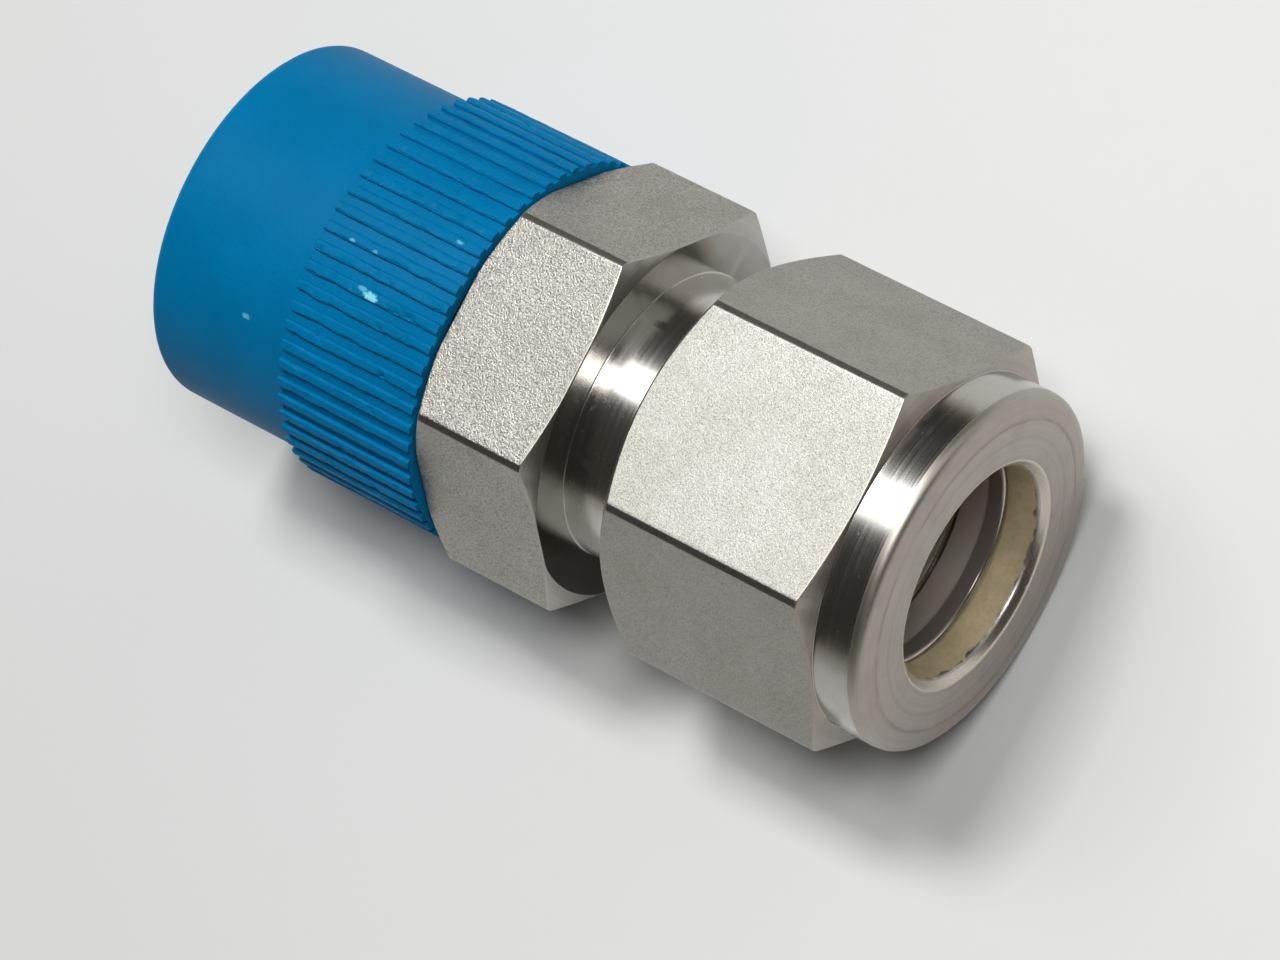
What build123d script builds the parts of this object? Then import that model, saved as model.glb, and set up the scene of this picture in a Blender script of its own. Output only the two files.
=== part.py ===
"""Twin-ferrule compression fitting: half-inch tube to a half-inch taper pipe thread, with a cap.

The axis lies along X. The tube goes in along -X and stops at the origin, and the pipe thread
points along -X under its cap. +Z is square to one flat of the nut. The nut is finger-tight:
its cone rests on the back ferrule, the back ferrule in the front one, and the front ferrule
in the mouth of the body. All sizes are in millimetres, and every place follows that chain.
"""
from build123d import *
from math import cos, radians, tan
import os

# Tube and clearances
TUBE_D = 12.70
TUBE_CLEARANCE = 0.05       # radial, tube to socket and ferrules
LAND_CLEARANCE = 0.10       # radial, tube to the nut's front bore
SEAT_CLEARANCE = 0.07       # square to each pair of cones that press together
THREAD_CLEARANCE = 0.10     # radial, nut bore to the body's thread
CAP_CLEARANCE = 0.08        # radial, cap to the pipe thread
CAP_GAP = 0.10              # along the axis, cap to hexagon and cap to pipe end

# Connector body
FLOW_BORE_D = 10.40
SOCKET_DEPTH = 11.90        # tube stop to the start of the mouth cone
MOUTH_DEPTH = 4.20
SEAT_ANGLE = 20.0           # half angle of the mouth and of the front ferrule
NUT_THREAD_D = 19.05
NOSE_CHAMFER = 0.75
NECK_D = 17.50
NECK_LENGTH = 4.90          # hexagon to the foot of the thread
NECK_ROOT_CHAMFER = 0.25
STOP_TO_HEX = 0.80          # tube stop to the hexagon's nut-side face
BODY_HEX_WIDTH = 8.50
BODY_HEX_TURN = 1.93        # degrees that the body is turned against the nut
TURNED_FACE_D = 22.40       # flat ring turned on the nut side of the hexagon
TURNED_FACE_ANGLE = 18.0
BACK_FACE_D = 22.60         # flat ring on the cap side of the hexagon
BACK_FACE_ANGLE = 30.0

# Taper pipe thread, at its crests
PIPE_THREAD_LENGTH = 19.05
PIPE_END_D = 20.60
PIPE_TAPER = 1 / 16         # on the diameter
PIPE_TAPER_LENGTH = 9.60    # pipe end to where the taper runs out into the shank
PIPE_CHAMFER = 1.10

# Both hexagons
HEX_ACROSS_FLATS = 22.225
HEX_EDGE_RADIUS = 0.40

# Front ferrule
FRONT_TIP_WALL = 0.22
FRONT_LENGTH = 5.45
FRONT_RIM_HEIGHT = 1.70     # rim above the bore
FRONT_RIM_CHAMFER = 0.20
CUP_HEIGHT = 1.05           # mouth of the cup that takes the back ferrule's nose, above the bore
CUP_ANGLE = 45.0

# Back ferrule
BACK_FACE_GAP = 0.15        # front ferrule's tail to the back ferrule's flange
BACK_NOSE_LENGTH = 0.85
BACK_RIM_HEIGHT = 1.65
BACK_RIM_WIDTH = 0.45
BACK_TAIL_CHAMFER = 0.15
DRIVE_ANGLE = 45.0          # half angle of the back ferrule's tail and of the nut's shoulder

# Tube nut
NUT_LENGTH = 17.87
LAND_LENGTH = 2.43
LAND_CHAMFER = 0.35
POCKET_CLEARANCE = 0.25     # radial, nut pocket to the higher ferrule rim
MAKE_UP_TRAVEL = 1.75       # room past the body's nose for the pull-up turns
NUT_MOUTH_CHAMFER = 0.40
NUT_FACE_D = 21.66
NUT_FACE_ANGLE = 33.0
COLLAR_D = 21.90
COLLAR_LENGTH = 3.17
COLLAR_CONE_ANGLE = 17.0
COLLAR_EDGE_RADIUS = 0.50

# Thread cap
CAP_D = 22.40
CAP_END_WALL = 0.75
CAP_END_RADIUS = 0.60
CAP_LEAD_IN = 0.30
RIB_D = 24.00
RIB_LENGTH = 9.55
RIB_COUNT = 60
RIB_PHASE = 4.5             # degrees, of the first groove from +Y
GROOVE_WIDTH = 0.50
GROOVE_ROOT_WIDTH = 0.20
GROOVE_DEPTH = 0.45

# Radii that several pieces share
SOCKET_R = TUBE_D / 2 + TUBE_CLEARANCE
LAND_R = TUBE_D / 2 + LAND_CLEARANCE
FRONT_RIM_R = SOCKET_R + FRONT_RIM_HEIGHT
BACK_RIM_R = SOCKET_R + BACK_RIM_HEIGHT
CUP_R = SOCKET_R + CUP_HEIGHT
POCKET_R = max(FRONT_RIM_R, BACK_RIM_R) + POCKET_CLEARANCE
HEX_CORNER_R = HEX_ACROSS_FLATS / 2 / cos(radians(30))

# Places along the axis, from the tube stop
HEX_FRONT = STOP_TO_HEX
HEX_BACK = HEX_FRONT - BODY_HEX_WIDTH
PIPE_END = HEX_BACK - PIPE_THREAD_LENGTH
NOSE_FACE = SOCKET_DEPTH + MOUTH_DEPTH


def seat_radius(x, clearance=0.0):
    """Radius of the mouth cone at x, or of a cone that lies inside it by a clearance."""
    slope = tan(radians(SEAT_ANGLE))
    return SOCKET_R + (x - SOCKET_DEPTH) * slope - clearance / cos(radians(SEAT_ANGLE))


def seat_place(radius, clearance=0.0):
    """Where the cone of seat_radius has this radius."""
    slope = tan(radians(SEAT_ANGLE))
    return SOCKET_DEPTH + (radius - SOCKET_R + clearance / cos(radians(SEAT_ANGLE))) / slope


FRONT_TIP = seat_place(SOCKET_R + FRONT_TIP_WALL, SEAT_CLEARANCE)
FRONT_TAIL = FRONT_TIP + FRONT_LENGTH
BACK_FLANGE = FRONT_TAIL + BACK_FACE_GAP
BACK_RIM_END = BACK_FLANGE + BACK_RIM_WIDTH
BACK_TAIL = BACK_RIM_END + BACK_RIM_HEIGHT / tan(radians(DRIVE_ANGLE))


def drive_place(radius):
    """Where the nut's shoulder has this radius, clear of the back ferrule's tail."""
    back_cone = BACK_TAIL - (radius - SOCKET_R) / tan(radians(DRIVE_ANGLE))
    return back_cone + SEAT_CLEARANCE / cos(radians(90 - DRIVE_ANGLE))


LAND_START = drive_place(LAND_R)
NUT_FRONT = LAND_START + LAND_LENGTH
NUT_BACK = NUT_FRONT - NUT_LENGTH
COLLAR_BACK = NUT_FRONT - COLLAR_LENGTH


def turned(outline, rounds=(), chamfers=()):
    """Turn a closed outline of (x, radius) points about X, after easing the given corners."""
    face = make_face(Polyline(*outline, close=True))
    for corner, radius in rounds:
        face = fillet(face.vertices().sort_by_distance(Vector(*corner))[0], radius)
    for corner, size in chamfers:
        face = chamfer(face.vertices().sort_by_distance(Vector(*corner))[0], size)
    return revolve(face, Axis.X)


def hexagon_bar(start, end, turn=0.0):
    """A hexagonal bar along X with eased edges, one flat square to Z before it is turned."""
    section = RegularPolygon(HEX_ACROSS_FLATS / 2, 6, major_radius=False, rotation=turn)
    section = fillet(section.vertices(), HEX_EDGE_RADIUS)
    return extrude(Plane.YZ.offset(start) * section, end - start)


def chamfered_hexagon(back, back_r, back_angle, front, front_r, front_angle, turn=0.0):
    """A hexagon from back to front, turned off at an angle outside each end's flat ring."""
    back_depth = (HEX_CORNER_R - back_r) * tan(radians(back_angle))
    front_depth = (HEX_CORNER_R - front_r) * tan(radians(front_angle))
    blank = turned([
        (back, 0),
        (back, back_r),
        (back + back_depth, HEX_CORNER_R),
        (front - front_depth, HEX_CORNER_R),
        (front, front_r),
        (front, 0),
    ])
    return blank & hexagon_bar(back, front, turn)


def pipe_crest(offset=0.0):
    """Outline of the pipe thread's crests from its end to the hexagon, moved out by an offset."""
    end_r = PIPE_END_D / 2 + offset
    shank_r = end_r + PIPE_TAPER_LENGTH * PIPE_TAPER / 2
    return [
        (PIPE_END, end_r),
        (PIPE_END + PIPE_TAPER_LENGTH, shank_r),
        (HEX_BACK, shank_r),
    ]


def connector_body():
    """Hexagon with the threaded nose and tube socket on one side and the pipe thread on the other."""
    hexagon = chamfered_hexagon(
        HEX_BACK, BACK_FACE_D / 2, BACK_FACE_ANGLE,
        HEX_FRONT, TURNED_FACE_D / 2, TURNED_FACE_ANGLE, BODY_HEX_TURN,
    )
    thread_foot = HEX_FRONT + NECK_LENGTH
    thread_rise = (NUT_THREAD_D - NECK_D) / 2
    neck_r = NECK_D / 2
    thread_r = NUT_THREAD_D / 2
    nose = turned([
        (HEX_BACK, 0),
        (HEX_BACK, neck_r + NECK_ROOT_CHAMFER * 2),
        (HEX_FRONT, neck_r + NECK_ROOT_CHAMFER * 2),
        (HEX_FRONT, neck_r),
        (thread_foot, neck_r),
        (thread_foot + thread_rise, thread_r),
        (NOSE_FACE - NOSE_CHAMFER, thread_r),
        (NOSE_FACE, thread_r - NOSE_CHAMFER),
        (NOSE_FACE, 0),
    ], chamfers=[((HEX_FRONT, neck_r), NECK_ROOT_CHAMFER)])
    crest = pipe_crest()
    chamfer_r = PIPE_END_D / 2 - PIPE_CHAMFER
    chamfer_x = PIPE_END + PIPE_CHAMFER
    pipe = turned([
        (PIPE_END, 0),
        (PIPE_END, chamfer_r),
        (chamfer_x, PIPE_END_D / 2 + PIPE_CHAMFER * PIPE_TAPER / 2),
        crest[1],
        crest[2],
        (HEX_BACK, 0),
    ])
    bore_r = FLOW_BORE_D / 2
    bore = turned([
        (PIPE_END, 0),
        (PIPE_END, bore_r),
        (0, bore_r),
        (0, SOCKET_R),
        (SOCKET_DEPTH, SOCKET_R),
        (NOSE_FACE, seat_radius(NOSE_FACE)),
        (NOSE_FACE, 0),
    ])
    return hexagon + nose + pipe - bore


def front_ferrule():
    """Long cone that the nut wedges between the tube and the body's mouth."""
    cup_depth = CUP_HEIGHT / tan(radians(CUP_ANGLE))
    return turned([
        (FRONT_TIP, SOCKET_R),
        (FRONT_TIP, SOCKET_R + FRONT_TIP_WALL),
        (seat_place(FRONT_RIM_R, SEAT_CLEARANCE), FRONT_RIM_R),
        (FRONT_TAIL, FRONT_RIM_R),
        (FRONT_TAIL, CUP_R),
        (FRONT_TAIL - cup_depth, SOCKET_R),
    ], chamfers=[((FRONT_TAIL, FRONT_RIM_R), FRONT_RIM_CHAMFER)])


def back_ferrule():
    """Short flanged ring whose nose lies in the front ferrule's cup and whose tail meets the nut."""
    nose_tip = BACK_FLANGE - BACK_NOSE_LENGTH
    cup_slope = tan(radians(CUP_ANGLE))
    nose_root_r = CUP_R + BACK_FACE_GAP * cup_slope - SEAT_CLEARANCE / cos(radians(CUP_ANGLE))
    nose_tip_r = nose_root_r - BACK_NOSE_LENGTH * cup_slope
    return turned([
        (nose_tip, SOCKET_R),
        (nose_tip, nose_tip_r),
        (BACK_FLANGE, nose_root_r),
        (BACK_FLANGE, BACK_RIM_R),
        (BACK_RIM_END, BACK_RIM_R),
        (BACK_TAIL, SOCKET_R),
    ], chamfers=[((BACK_TAIL, SOCKET_R), BACK_TAIL_CHAMFER)])


def tube_nut():
    """Hexagon nut with a turned collar, a threaded bore and a shoulder that drives the ferrules."""
    hexagon = chamfered_hexagon(
        NUT_BACK, NUT_FACE_D / 2, NUT_FACE_ANGLE,
        COLLAR_BACK, COLLAR_D / 2, COLLAR_CONE_ANGLE,
    )
    collar_r = COLLAR_D / 2
    collar = turned([
        (COLLAR_BACK, 0),
        (COLLAR_BACK, collar_r),
        (NUT_FRONT, collar_r),
        (NUT_FRONT, 0),
    ], rounds=[((NUT_FRONT, collar_r), COLLAR_EDGE_RADIUS)])
    thread_r = NUT_THREAD_D / 2 + THREAD_CLEARANCE
    thread_end = NOSE_FACE + MAKE_UP_TRAVEL
    bore = turned([
        (NUT_BACK, 0),
        (NUT_BACK, thread_r + NUT_MOUTH_CHAMFER),
        (NUT_BACK + NUT_MOUTH_CHAMFER, thread_r),
        (thread_end, thread_r),
        (thread_end, POCKET_R),
        (drive_place(POCKET_R), POCKET_R),
        (LAND_START, LAND_R),
        (NUT_FRONT - LAND_CHAMFER, LAND_R),
        (NUT_FRONT, LAND_R + LAND_CHAMFER),
        (NUT_FRONT, 0),
    ])
    return hexagon + collar - bore


def thread_cap():
    """Moulded push-on cup over the pipe thread, with grip ribs round its open end."""
    mouth = HEX_BACK - CAP_GAP
    closed_end = PIPE_END - CAP_GAP - CAP_END_WALL
    rib_start = mouth - RIB_LENGTH
    cup = turned([
        (closed_end, 0),
        (closed_end, CAP_D / 2),
        (mouth, CAP_D / 2),
        (mouth, 0),
    ], rounds=[((closed_end, CAP_D / 2), CAP_END_RADIUS)])
    groove = Polygon(
        (RIB_D / 2 + GROOVE_WIDTH, GROOVE_WIDTH / 2),
        (RIB_D / 2, GROOVE_WIDTH / 2),
        (RIB_D / 2 - GROOVE_DEPTH, GROOVE_ROOT_WIDTH / 2),
        (RIB_D / 2 - GROOVE_DEPTH, -GROOVE_ROOT_WIDTH / 2),
        (RIB_D / 2, -GROOVE_WIDTH / 2),
        (RIB_D / 2 + GROOVE_WIDTH, -GROOVE_WIDTH / 2),
        align=None,
    )
    pitch = 360 / RIB_COUNT
    grooves = [Rot(0, 0, RIB_PHASE + i * pitch) * groove for i in range(RIB_COUNT)]
    ribbed_ring = extrude(Plane.YZ.offset(rib_start) * (Circle(RIB_D / 2) - grooves), RIB_LENGTH)
    crest = pipe_crest(CAP_CLEARANCE)
    inside = turned([
        (PIPE_END - CAP_GAP, 0),
        (PIPE_END - CAP_GAP, crest[0][1]),
        *crest[:2],
        (mouth - CAP_LEAD_IN, crest[2][1]),
        (mouth, crest[2][1] + CAP_LEAD_IN),
        (mouth, 0),
    ])
    return cup + ribbed_ring - inside


PIECES = {
    "connector_body": connector_body,
    "front_ferrule": front_ferrule,
    "back_ferrule": back_ferrule,
    "tube_nut": tube_nut,
    "thread_cap": thread_cap,
}


def main():
    os.makedirs("parts", exist_ok=True)
    for name, make_piece in PIECES.items():
        export_step(make_piece(), f"parts/{name}.step")


if __name__ == "__main__":
    main()
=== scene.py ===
"""Twin-ferrule tube fitting with a thread cap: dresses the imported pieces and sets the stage.

The axis lies along X with the pipe thread towards -X and X = 0 at the tube stop. One flat of the
nut is square to Z. Sizes in the settings are in Blender's metres, and outlines in millimetres.
"""
from math import atan, cos, exp, log, pi, radians, sin, tan

import bmesh
import bpy
from bpy.props import FloatProperty, FloatVectorProperty, IntProperty, PointerProperty
from bpy.types import Operator, Panel, PropertyGroup
from mathutils import Matrix, Vector


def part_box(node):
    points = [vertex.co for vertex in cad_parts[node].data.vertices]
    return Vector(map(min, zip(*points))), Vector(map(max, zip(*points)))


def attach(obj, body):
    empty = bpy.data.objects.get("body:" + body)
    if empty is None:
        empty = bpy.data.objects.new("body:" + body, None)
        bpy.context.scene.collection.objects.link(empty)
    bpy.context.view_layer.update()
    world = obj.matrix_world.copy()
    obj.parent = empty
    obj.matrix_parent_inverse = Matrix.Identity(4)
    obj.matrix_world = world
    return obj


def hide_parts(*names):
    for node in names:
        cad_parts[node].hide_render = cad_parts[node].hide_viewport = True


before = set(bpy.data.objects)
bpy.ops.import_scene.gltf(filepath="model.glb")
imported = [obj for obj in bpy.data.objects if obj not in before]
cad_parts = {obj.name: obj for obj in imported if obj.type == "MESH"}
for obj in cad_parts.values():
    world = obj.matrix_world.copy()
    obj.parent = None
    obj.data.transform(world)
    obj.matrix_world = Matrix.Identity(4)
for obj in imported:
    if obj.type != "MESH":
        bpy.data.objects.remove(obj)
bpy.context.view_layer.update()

bl_info = {
    "name": "Tube fitting",
    "version": (1, 0, 0),
    "blender": (4, 5, 0),
    "location": "3D View > Sidebar > Fitting",
    "description": "Dresses a twin-ferrule tube fitting and its thread cap, and sets the stage",
    "category": "Object",
}

MM = 0.001


def node_span(node):
    """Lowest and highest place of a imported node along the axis, in millimetres."""
    low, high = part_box(node)
    return low.x / MM, high.x / MM


NUT_BACK, NUT_FRONT = node_span("tube_nut")
PIPE_END, NOSE_FACE = node_span("connector_body")
CAP_END, CAP_MOUTH = node_span("thread_cap")
FRONT_TIP, FRONT_TAIL = node_span("front_ferrule")
BACK_NOSE, BACK_TAIL = node_span("back_ferrule")
HEX_BACK = CAP_MOUTH + 0.10
HEX_FRONT = HEX_BACK + 8.50
COLLAR_BACK = NUT_FRONT - 3.17
RIB_START = CAP_MOUTH - 9.55

# Other places along the axis.
SHANK_START = -9.60             # end of the pipe thread's run-out
THREAD_FOOT = 5.70              # end of the neck and start of the nose thread
SOCKET_END = 11.90              # where the socket opens into the mouth cone
NUT_THREAD_END = 17.85
POCKET_END = 18.558
LAND_START = 20.458

# Radii, in millimetres, and angles.
FLOW_R = 5.20
SOCKET_R = 6.40
LAND_R = 6.45
FERRULE_R = 8.10
POCKET_R = 8.35
CUP_R = 7.45                    # the front ferrule's cup, which takes the back ferrule's nose
MOUTH_R = 7.929
NECK_R = 8.75
NOSE_THREAD_R = 9.515
NUT_THREAD_R = 9.625
NUT_MOUTH_R = 10.025
NUT_HEEL_R = 10.83
COLLAR_R = 10.95
PIPE_THREAD_R = 8.85            # root at the thread's small end
SHANK_R = 10.60
CAP_R = 11.20
CAP_BORE_R = 10.38
CAP_MOUTH_R = 10.68             # over the shank; the bore tapers from there to CAP_BORE_R
RIB_ROOT_R = 11.68
RIB_TOP_R = 11.985
ACROSS_FLATS = 22.225
EDGE_WIDTH = 0.42               # facet that tumbling leaves along the hexagons' edges
PIPE_TAPER = 1 / 32             # on the radius
BODY_TURN = radians(1.93)       # the body against the nut
RIB_TURN = radians(9.4)         # the first rib from +Y

# Marks of use: place in millimetres, size and strength.
COLLAR_NICK = (19.85, -10.86, 1.45)
RIB_MARKS = (
    ((-12.63, -2.03, 11.83), 0.34, 1.0), ((-13.3, -1.8, 11.88), 0.22, 0.45),
    ((-15.31, 0.36, 11.98), 0.13, 0.5), ((-13.63, 0.34, 11.98), 0.12, 0.4),
    ((-9.33, 3.0, 11.62), 0.16, 0.5), ((-8.53, 1.36, 11.92), 0.15, 0.6))
CUP_MARKS = (((-20.61, -6.09, 9.40), 0.20, 0.45),)
# The lighter blue of scuffs, and of the painted highlight along the cap's closed end.
SCUFFED_BLUE = (0.06, 0.36, 0.55, 1.0)
TORN_BLUE = (0.22, 0.66, 0.78, 1.0)
STAIN = (0.22, 0.18, 0.20, 1.0)

# The camera's own X and Z axes.
CAMERA_RIGHT = (0.7914, 0.4724, -0.3878)
CAMERA_BACK = (0.4560, -0.0339, 0.8893)


# ---------------------------------------------------------------- settings


class SteelSettings(PropertyGroup):
    """Finish of the stainless steel pieces."""

    colour: FloatVectorProperty(
        name="Steel", description="Colour of clean stainless steel",
        subtype="COLOR", size=3, min=0, max=1, default=(0.60, 0.575, 0.545))
    flat_colour: FloatVectorProperty(
        name="Bar stock", description="Colour of the drawn flats of both hexagons",
        subtype="COLOR", size=3, min=0, max=1, default=(0.438, 0.428, 0.391))
    face_colour: FloatVectorProperty(
        name="Faced end", description="Colour of the matt turned face of the nut",
        subtype="COLOR", size=3, min=0, max=1, default=(0.430, 0.396, 0.350))
    plating_colour: FloatVectorProperty(
        name="Plating", description="Colour of the silver-bearing film left in the nut's bore",
        subtype="COLOR", size=3, min=0, max=1, default=(0.58, 0.48, 0.295))
    body_grain: FloatProperty(
        name="Body grain", description="Size of the grain on the body's flats",
        subtype="DISTANCE", unit="LENGTH", default=0.00013)
    nut_grain: FloatProperty(
        name="Nut grain", description="Size of the grain on the nut's flats",
        subtype="DISTANCE", unit="LENGTH", default=0.00012)


class ThreadSettings(PropertyGroup):
    """Sizes of the threads."""

    pipe_pitch: FloatProperty(
        name="Pipe pitch", description="Pitch of the taper pipe thread",
        subtype="DISTANCE", unit="LENGTH", default=0.001814)
    nut_pitch: FloatProperty(
        name="Nut pitch", description="Pitch of the thread between nut and body",
        subtype="DISTANCE", unit="LENGTH", default=0.00127)
    steps: IntProperty(
        name="Steps a turn", description="Points along each turn of a thread",
        min=24, max=180, default=96)


class CapSettings(PropertyGroup):
    """Look and ribs of the moulded cap."""

    colour: FloatVectorProperty(
        name="Polyethylene", description="Colour of the cap",
        subtype="COLOR", size=3, min=0, max=1, default=(0.0002, 0.152, 0.345))
    ribs: IntProperty(
        name="Ribs", description="Grip ribs round the open end", min=3, max=200, default=60)
    wobble: FloatProperty(
        name="Wobble", description="How far the ribs stray from true",
        subtype="DISTANCE", unit="LENGTH", default=0.00022)
    seed: IntProperty(name="Seed", description="Seed of the wobble", default=7)


class StageSettings(PropertyGroup):
    """Floor, light and camera."""

    camera_place: FloatVectorProperty(
        name="Camera", description="Place of the camera",
        subtype="TRANSLATION", unit="LENGTH", size=3, precision=5, default=(0.16411, -0.01585, 0.31676))
    lens: FloatProperty(
        name="Lens", description="Focal length", subtype="DISTANCE_CAMERA", unit="CAMERA", default=177.19)
    paper: FloatVectorProperty(
        name="Paper", description="Colour of the floor",
        subtype="COLOR", size=3, min=0, max=1, default=(0.674, 0.680, 0.672))
    room: FloatProperty(
        name="Room", description="Brightness of the room overhead", min=0, max=1, default=0.045)
    horizon: FloatProperty(
        name="Horizon", description="Brightness of the room just over the floor",
        min=0, max=1, default=0.50)
    room_colour: FloatVectorProperty(
        name="Room colour", description="Colour of the light from the room",
        subtype="COLOR", size=3, min=0, max=1, default=(1.0, 0.91, 0.81))
    main_lamp: FloatProperty(
        name="Main lamp", description="Power in watts of the lamp that throws the shadows",
        min=0, default=5.0)
    side_lamp: FloatProperty(
        name="Side lamp", description="Power in watts of the soft lamp behind the cap",
        min=0, default=2.35)
    fill_lamp: FloatProperty(
        name="Fill lamp", description="Power in watts of the soft lamp over the nut's face",
        min=0, default=4.4)
    window: FloatProperty(
        name="Window", description="Power in watts of the broad light from the far right",
        min=0, default=1.3)


# ---------------------------------------------------------------- node wiring


class Wire:
    """A node's socket that can be used in sums. Each operation adds a Math node."""

    def __init__(self, bench, socket):
        self.bench = bench
        self.socket = socket

    def math(self, operation, *values):
        return self.bench.add("ShaderNodeMath", {"operation": operation}, dict(enumerate(values)))[0]

    def __add__(self, other):
        return self.math("ADD", self, other)

    def __radd__(self, other):
        return self.math("ADD", other, self)

    def __sub__(self, other):
        return self.math("SUBTRACT", self, other)

    def __rsub__(self, other):
        return self.math("SUBTRACT", other, self)

    def __mul__(self, other):
        return self.math("MULTIPLY", self, other)

    def __truediv__(self, other):
        return self.math("DIVIDE", self, other)

    def __pow__(self, other):
        return self.math("POWER", self, other)

    def least(self, other):
        return self.math("MINIMUM", self, other)

    def most(self, other):
        return self.math("MAXIMUM", self, other)

    def held(self):
        """Kept between 0 and 1."""
        return self.most(0.0).least(1.0)

    def ramp(self, start, end):
        """0 at start, 1 at end, smooth between."""
        made = self.bench.add(
            "ShaderNodeMapRange", {"interpolation_type": "SMOOTHSTEP"},
            {"Value": self, "From Min": start, "From Max": end})
        return made[0]


class Made:
    """A node that has been added: made["Color"] or made[0] is one of its outputs."""

    def __init__(self, bench, node):
        self.bench = bench
        self.node = node

    def __getitem__(self, key):
        return Wire(self.bench, self.node.outputs[key])


class Bench:
    """Adds nodes to one tree."""

    def __init__(self, tree):
        self.tree = tree

    def add(self, kind, settings=None, values=None):
        """A node of this kind, with its settings made first and then its sockets filled."""
        node = self.tree.nodes.new(kind)
        for name, value in (settings or {}).items():
            setattr(node, name, value)
        for key, value in (values or {}).items():
            if isinstance(value, Wire):
                self.tree.links.new(value.socket, node.inputs[key])
            else:
                node.inputs[key].default_value = value
        return Made(self, node)

    def mix(self, share, first, second, blend="MIX"):
        """A colour between two others, or one laid over the other."""
        settings = {"data_type": "RGBA", "blend_type": blend}
        return self.add("ShaderNodeMix", settings, {0: share, 6: first, 7: second})[2]

    def vector(self, x, y, z):
        return self.add("ShaderNodeCombineXYZ", None, {0: x, 1: y, 2: z})[0]

    def parts(self, vector):
        made = self.add("ShaderNodeSeparateXYZ", None, {0: vector})
        return made[0], made[1], made[2]

    def scaled(self, vector, factor):
        return self.add("ShaderNodeVectorMath", {"operation": "SCALE"}, {0: vector, "Scale": factor})[0]


class Finish(Bench):
    """A material on the bench, with the coordinates that its patterns follow, in millimetres."""

    def __init__(self, name):
        self.material = bpy.data.materials.new(name)
        self.material.use_nodes = True
        super().__init__(self.material.node_tree)
        self.shader = self.tree.nodes["Principled BSDF"]
        here = self.add("ShaderNodeTexCoord")["Object"]
        self.place = self.scaled(here, 1 / MM)
        self.x, self.y, self.z = self.parts(self.place)
        self.radius = (self.y * self.y + self.z * self.z) ** 0.5

    def noise(self, size, detail=2.0, roughness=0.5, place=None, shift=0.0):
        """Grey noise whose lumps are about this many millimetres across."""
        made = self.add(
            "ShaderNodeTexNoise", {"noise_dimensions": "4D"},
            {"Vector": place or self.place, "W": shift, "Scale": 1 / size, "Detail": detail,
             "Roughness": roughness})
        return made[0]

    def cells(self, size, place):
        """Cells about this many millimetres across, each of one random colour."""
        return self.add(
            "ShaderNodeTexVoronoi", {"feature": "F1"}, {"Vector": place, "Scale": 1 / size})["Color"]

    def tool_marks(self, size, detail=2.0, shift=0.0):
        """Noise along the turning tool's path: the same all the way round a turned surface."""
        made = self.add(
            "ShaderNodeTexNoise", {"noise_dimensions": "2D"},
            {"Vector": self.vector(self.x + shift, self.radius, 0.0), "Scale": 1 / size, "Detail": detail})
        return made[0]

    def spot(self, place, size, shift=7.0):
        """1 at a place and 0 farther than this many millimetres from it: ragged, longer along X."""
        dx, dy, dz = (self.x - place[0]) * 0.55, self.y - place[1], self.z - place[2]
        away = (dx * dx + dy * dy + dz * dz) ** 0.5
        ragged = self.noise(size * 0.45, 3.0, 0.6, shift=shift)
        return (away / size + (ragged - 0.5) * 1.5).ramp(1.0, 0.5)

    def set(self, **values):
        """Fills the shader's sockets: names with spaces are written with underscores."""
        for name, value in values.items():
            socket = self.shader.inputs[name.replace("_", " ").title().replace("Ior", "IOR")]
            if isinstance(value, Wire):
                self.tree.links.new(value.socket, socket)
            else:
                socket.default_value = value

    def relief(self, height, depth, strength=1.0):
        """Bump of this height map, with its depth in millimetres."""
        bump = self.add(
            "ShaderNodeBump", None, {"Strength": strength, "Distance": depth * MM, "Height": height})[0]
        self.tree.links.new(bump.socket, self.shader.inputs["Normal"])


def rgba(colour, level=1.0):
    return (colour[0] * level, colour[1] * level, colour[2] * level, 1.0)


# ---------------------------------------------------------------- finishes


def finish_bar_stock(name, colour, grain, depth, roughness, contrast):
    """Drawn and pickled bar: a close sparkling grain, cloudy over some millimetres."""
    steel = Finish(name)
    swirl = steel.add(
        "ShaderNodeTexNoise", None, {"Vector": steel.place, "Scale": 1 / grain, "Detail": 1.0})["Color"]
    bent = steel.add(
        "ShaderNodeVectorMath", {"operation": "ADD"}, {0: steel.place, 1: steel.scaled(swirl, grain)})[0]
    crystal = steel.parts(steel.cells(grain, bent))[0]
    grains = steel.noise(grain * 0.9, 2.0, 0.65)
    coarse = steel.noise(grain * 3.5, 2.0, 0.5, shift=4.0)
    cloud = steel.noise(3.5, 3.0, 0.55, shift=2.0)
    tone = steel.mix(crystal, rgba(colour, 1 - 0.15 * contrast), rgba(colour, 1 + 0.15 * contrast))
    tone = steel.mix(grains.ramp(0.54, 0.34) * contrast, tone, rgba(colour, 0.62))
    dulled = steel.mix(1.0, tone, (0.91, 0.90, 0.885, 1.0), "MULTIPLY")
    tone = steel.mix(cloud.ramp(0.3, 0.7), tone, dulled)
    steel.set(
        base_color=tone, metallic=1.0,
        roughness=(roughness + (crystal - 0.5) * 0.20 * contrast + (coarse - 0.5) * 0.10).held())
    steel.relief(grains + coarse * 0.6 + crystal * 0.3, depth)
    return steel.material


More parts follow.
